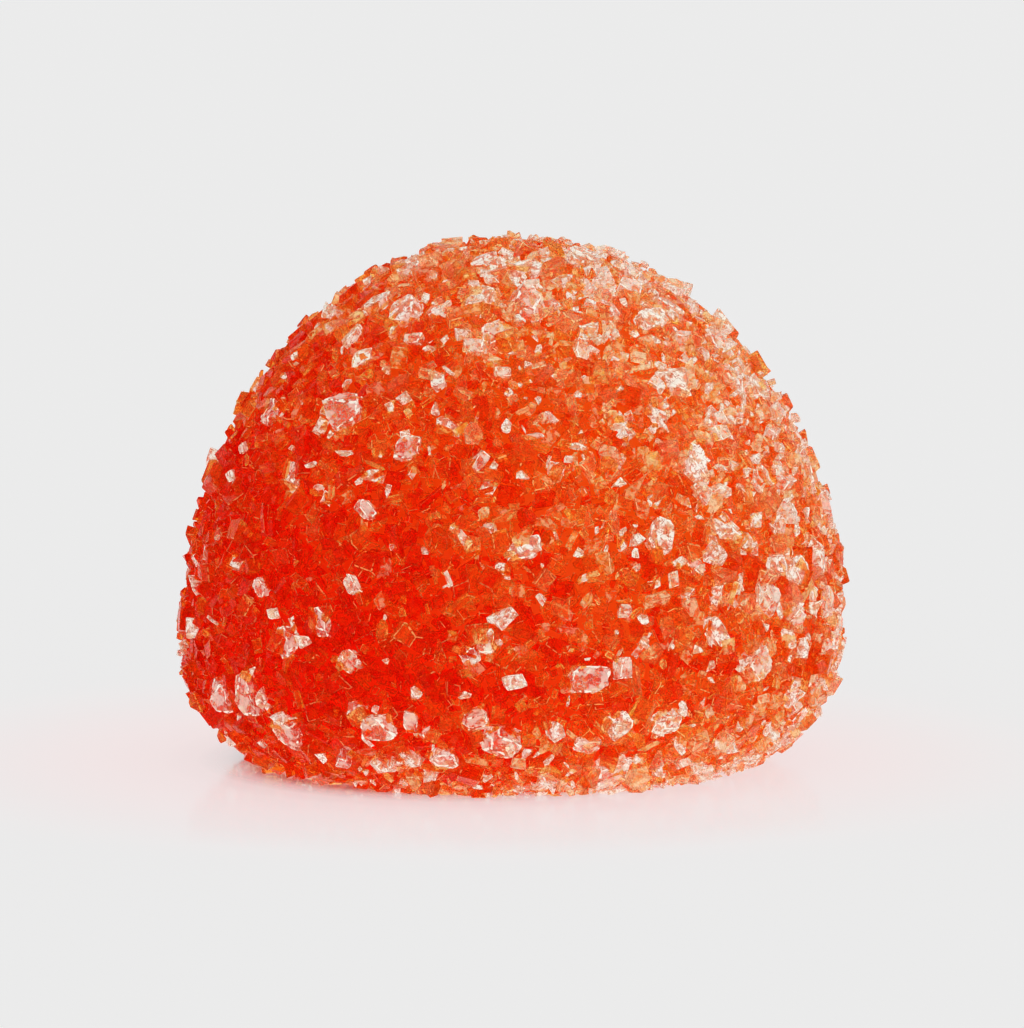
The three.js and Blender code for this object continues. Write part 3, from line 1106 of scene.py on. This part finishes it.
def table_material(stage):
    """A pale light table that glows softly, with a painted pink light around the gumdrop's foot, and mirrors
    the gumdrop less and less away from its foot.
    """
    material, tree, output = new_material("Light Table")
    matt = tree.nodes.new("ShaderNodeBsdfPrincipled")
    matt.inputs["Base Color"].default_value = (*stage.table_color, 1.0)
    matt.inputs["Roughness"].default_value = 0.8
    matt.inputs["Specular IOR Level"].default_value = 0.0
    mirror = tree.nodes.new("ShaderNodeBsdfGlossy")
    mirror.inputs["Roughness"].default_value = 0.12

    place = tree.nodes.new("ShaderNodeTexCoord")
    offset = tree.nodes.new("ShaderNodeVectorMath")
    offset.operation = "DISTANCE"
    offset.inputs[1].default_value = MIRROR_MIDDLE
    link(tree, place.outputs["Object"], offset.inputs[0])
    reach = tree.nodes.new("ShaderNodeValToRGB")
    while len(reach.color_ramp.elements) < len(MIRROR_STOPS):
        reach.color_ramp.elements.new(0.5)
    for element, (position, share) in zip(reach.color_ramp.elements, MIRROR_STOPS):
        element.position = position
        element.color = (share, share, share, 1.0)
    distance = math_node(tree, "DIVIDE", offset.outputs["Value"], MIRROR_REACH)
    link(tree, distance, reach.inputs["Fac"])
    # Painted light: the table's glow turns pink near the gumdrop's foot.
    pink_light_share = ramp_node(tree, distance, *PAINTED_PINK_LIGHT_FADE, 1.0, 0.0)
    link(tree, mix_colors(tree, pink_light_share, (1.0, 1.0, 1.0), stage.painted_pink_light_color), matt.inputs["Emission Color"])

    path = tree.nodes.new("ShaderNodeLightPath")
    dimmed = math_node(tree, "MULTIPLY", path.outputs["Is Camera Ray"], UNDER_GLOW - stage.table_glow)
    glow = math_node(tree, "SUBTRACT", UNDER_GLOW, dimmed)
    link(tree, glow, matt.inputs["Emission Strength"])
    mix = tree.nodes.new("ShaderNodeMixShader")
    mirrored = math_node(tree, "MULTIPLY", reach.outputs["Color"], path.outputs["Is Camera Ray"])
    link(tree, mirrored, mix.inputs[0])
    link(tree, matt.outputs[0], mix.inputs[1])
    link(tree, mirror.outputs[0], mix.inputs[2])
    link(tree, mix.outputs[0], output.inputs["Surface"])
    return material


# ---------------------------------------------------------------- operators


class GUMDROP_OT_jelly(bpy.types.Operator):
    """Make the jelly body: the dome's profile spun round and drawn in under the crystals"""

    bl_idname = "gumdrop.jelly"
    bl_label = "Jelly"

    def execute(self, context):
        jelly = context.scene.gumdrop.jelly
        sides, steps = 96, 24
        bm = bmesh.new()
        levels = [MIDDLE_OF_BASE + (TOP - MIDDLE_OF_BASE) * i / (3 * steps) for i in range(3 * steps + 1)]
        profile = []
        for level in levels:
            point = surface_point(level, 0.0) - surface_normal(level, 0.0) * jelly.inset
            point.x = 0.0 if level in (MIDDLE_OF_BASE, TOP) else max(point.x, 0.0)
            profile.append(bm.verts.new(point))
        for below, above in zip(profile, profile[1:]):
            bm.edges.new((below, above))
        bmesh.ops.spin(
            bm,
            geom=bm.verts[:] + bm.edges[:],
            cent=(0, 0, 0),
            axis=(0, 0, 1),
            angle=2 * math.pi,
            steps=sides,
            use_merge=True,
        )
        bmesh.ops.remove_doubles(bm, verts=bm.verts[:], dist=0.01 * MM)
        bmesh.ops.recalc_face_normals(bm, faces=bm.faces[:])
        for face in bm.faces:
            face.smooth = True
        mesh = bpy.data.meshes.new("jelly")
        bm.to_mesh(mesh)
        bm.free()
        piece = add_object("jelly", mesh, [jelly_material(jelly)])
        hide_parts(NODE)
        return {"FINISHED"}


class GUMDROP_OT_grains(bpy.types.Operator):
    """Make the fine grains that fill the gaps between the crystals"""

    bl_idname = "gumdrop.grains"
    bl_label = "Fine grains"

    def execute(self, context):
        sugar = context.scene.gumdrop.sugar
        shapes = [block_shape(seed, seed % 2, 0.08, 0.15) for seed in (11, 12, 13, 14)]
        shapes += [shard_shape(seed, 0.08, 0.15) for seed in (31, 32, 33, 34)]
        add_crystals("sugar_grains", fine_grains(sugar), shapes, crystal_materials(SYRUP_SUGAR), seed=5)
        return {"FINISHED"}


class GUMDROP_OT_crystals(bpy.types.Operator):
    """Make the crystals of the ordinary size: stained by the syrup, hazy, clear and frosted white"""

    bl_idname = "gumdrop.crystals"
    bl_label = "Crystals"

    def execute(self, context):
        kinds = ordinary_crystals(context.scene.gumdrop.sugar)
        syrup, hazy = crystal_materials(SYRUP_SUGAR), crystal_materials(HAZY_SUGAR)
        clear, frosted = crystal_materials(CLEAR_SUGAR), crystal_materials(FROSTED_SUGAR)
        blocks = [block_shape(seed, seed % 2, 0.06, 0.4) for seed in range(1, 10)]
        shards = [shard_shape(seed, 0.06, 0.35) for seed in range(21, 30)]
        edged = [block_shape(seed, seed % 3, 0.06, 0.75) for seed in range(41, 47)]
        cut = [block_shape(seed, 2, 0.07, 0.7) for seed in range(51, 55)]
        chips = [chip_shape(seed, 0.06, 0.5) for seed in range(61, 64)]
        broken = [shard_shape(seed, 0.06, 0.5) for seed in range(64, 67)]
        add_crystals("sugar_blocks", kinds["block"], blocks, syrup, seed=2)
        add_crystals("sugar_shards", kinds["shard"], shards, syrup, seed=3)
        add_crystals("sugar_edged", kinds["edged"], edged, syrup, seed=4)
        add_crystals("sugar_hazy", kinds["hazy"], blocks + shards, hazy, seed=5)
        add_crystals("sugar_clear", kinds["clear"], cut, clear, 0.14, seed=6)
        add_crystals("sugar_frosted", kinds["frosted"], chips + broken, frosted, 0.14, seed=7)
        return {"FINISHED"}


class GUMDROP_OT_sparkles(bpy.types.Operator):
    """Make the small clean crystals that sparkle on top of the crust"""

    bl_idname = "gumdrop.sparkles"
    bl_label = "Sparkles"

    def execute(self, context):
        sugar = context.scene.gumdrop.sugar
        shapes = [shard_shape(seed, 0.08, 0.0) for seed in (101, 102, 103, 104, 105)]
        frosty = crystal_materials(FROSTED_SUGAR)
        add_crystals("sugar_sparkles", sparkles(sugar), shapes, frosty, 0.16, seed=13)
        return {"FINISHED"}


class GUMDROP_OT_large_crystals(bpy.types.Operator):
    """Make the large crystals of the solid model, with the ones that stand out on the front"""

    bl_idname = "gumdrop.large_crystals"
    bl_label = "Large crystals"

    def execute(self, context):
        sugar = context.scene.gumdrop.sugar
        rand = np.random.default_rng(71)
        standouts, others = large_crystals()
        stained, clear, frosted = [], [], []
        for crystal in standouts:
            crystal.lift += STANDOUT_RAISED
            pale = painted_lightness(surface_point(*crystal.at))
            # Painted light: standouts where the crust is painted paler are frosted white, the others clear.
            kind = frosted if pale > STANDOUT_FROSTED_FROM else clear
            kind.append(keep_clean(sugar, crystal, rand))
        for crystal in others:
            if is_clean(sugar, crystal, rand, LARGE_CLEAN_FACTOR):
                clear.append(keep_clean(sugar, crystal, rand))
            else:
                crystal.lift -= LARGE_STAINED_DROP
                stained.append(stain_and_paint_light(sugar, crystal, rand))
                crystal.edge_frost_and_highlight *= LARGE_STAINED_RIM
                crystal.size = tuple(LARGE_STAINED_SIZE * side for side in crystal.size)
        shapes = [standout_shape(seed) for seed in (81, 82, 83, 84, 85)]
        frosty, glassy = (crystal_materials(kind, LARGE_FLAW_SIZE) for kind in (FROSTED_SUGAR, CLEAR_SUGAR))
        add_crystals("sugar_large_frosted", frosted, shapes, frosty, 0.06, seed=10)
        add_crystals("sugar_large_clear", clear, shapes, glassy, 0.06, seed=12)
        blocks = [block_shape(seed, 3 + seed % 3, 0.03, 0.3) for seed in (91, 92, 93, 94, 95)]
        add_crystals("sugar_large_stained", stained, blocks, crystal_materials(SYRUP_SUGAR), seed=11)
        return {"FINISHED"}


class GUMDROP_OT_stage(bpy.types.Operator):
    """Make the table, the light and the camera"""

    bl_idname = "gumdrop.stage"
    bl_label = "Stage"

    def execute(self, context):
        stage = context.scene.gumdrop.stage
        self.add_table(stage)
        self.add_light(context.scene, stage)
        self.add_camera(context.scene, stage)
        context.scene.view_settings.view_transform = "Standard"
        context.scene.view_settings.look = "High Contrast"
        context.scene.view_settings.exposure = EXPOSURE
        for kind, count in BOUNCES.items():
            setattr(context.scene.cycles, kind, count)
        return {"FINISHED"}

    def add_table(self, stage):
        bm = bmesh.new()
        bmesh.ops.create_circle(bm, cap_ends=True, radius=TABLE_RADIUS, segments=64)
        mesh = bpy.data.meshes.new("table")
        bm.to_mesh(mesh)
        bm.free()
        mesh.materials.append(table_material(stage))
        table = bpy.data.objects.new("table", mesh)
        bpy.context.scene.collection.objects.link(table)

    def add_light(self, scene, stage):
        world = bpy.data.worlds.new("Soft Light")
        world.use_nodes = True
        tree = world.node_tree
        background = tree.nodes["Background"]
        background.inputs["Color"].default_value = (1.0, 1.0, 1.0, 1.0)
        camera_ray = tree.nodes.new("ShaderNodeLightPath").outputs["Is Camera Ray"]
        added = math_node(tree, "MULTIPLY", camera_ray, BACKDROP_GLOW - stage.sky_strength)
        link(tree, math_node(tree, "ADD", added, stage.sky_strength), background.inputs["Strength"])
        scene.world = world
        for name, strength, direction in (
            ("Key Light", stage.sun_strength, KEY_DIRECTION),
            ("Fill Light", stage.fill_strength, FILL_DIRECTION),
        ):
            light = bpy.data.lights.new(name, "SUN")
            light.energy = strength
            light.angle = LIGHT_SOFTNESS
            sun = bpy.data.objects.new(name, light)
            sun.rotation_mode = "QUATERNION"
            sun.rotation_quaternion = Vector(direction).to_track_quat("-Z", "Y")
            scene.collection.objects.link(sun)

    def add_camera(self, scene, stage):
        low, high = CAD_BOX
        target = Vector((0.0, 0.0, LOOK_AT_HEIGHT * high[2]))
        data = bpy.data.cameras.new("Camera")
        data.sensor_width = SENSOR_WIDTH
        data.lens = SENSOR_WIDTH * stage.distance * WIDTH_IN_FRAME / (high[0] - low[0])
        data.clip_start = NEAREST_SEEN
        camera = bpy.data.objects.new("Camera", data)
        away = Vector((0.0, -math.cos(stage.elevation), math.sin(stage.elevation)))
        camera.location = target + away * stage.distance
        camera.rotation_mode = "QUATERNION"
        camera.rotation_quaternion = (-away).to_track_quat("-Z", "Y")
        scene.collection.objects.link(camera)
        scene.camera = camera


class GUMDROP_PT_panel(bpy.types.Panel):
    """Lists the steps that build the gumdrop"""

    bl_idname = "GUMDROP_PT_panel"
    bl_label = "Sugared Gumdrop"
    bl_space_type = "VIEW_3D"
    bl_region_type = "UI"
    bl_category = "Gumdrop"

    def draw(self, context):
        for operator in OPERATORS:
            self.layout.operator(operator.bl_idname)
        for group in ("jelly", "sugar", "stage"):
            settings = getattr(context.scene.gumdrop, group)
            box = self.layout.box()
            for name in settings.bl_rna.properties.keys():
                if name not in ("rna_type", "name"):
                    box.prop(settings, name)


SETTINGS = (JellySettings, SugarSettings, StageSettings, GumdropSettings)
OPERATORS = (
    GUMDROP_OT_jelly,
    GUMDROP_OT_grains,
    GUMDROP_OT_crystals,
    GUMDROP_OT_sparkles,
    GUMDROP_OT_large_crystals,
    GUMDROP_OT_stage,
)


def register():
    for cls in (*SETTINGS, *OPERATORS, GUMDROP_PT_panel):
        bpy.utils.register_class(cls)
    bpy.types.Scene.gumdrop = bpy.props.PointerProperty(type=GumdropSettings)


def unregister():
    del bpy.types.Scene.gumdrop
    for cls in reversed((*SETTINGS, *OPERATORS, GUMDROP_PT_panel)):
        bpy.utils.unregister_class(cls)


def main():
    register()
    bpy.ops.gumdrop.jelly()
    bpy.ops.gumdrop.grains()
    bpy.ops.gumdrop.crystals()
    bpy.ops.gumdrop.sparkles()
    bpy.ops.gumdrop.large_crystals()
    bpy.ops.gumdrop.stage()


if __name__ == "__main__":
    main()
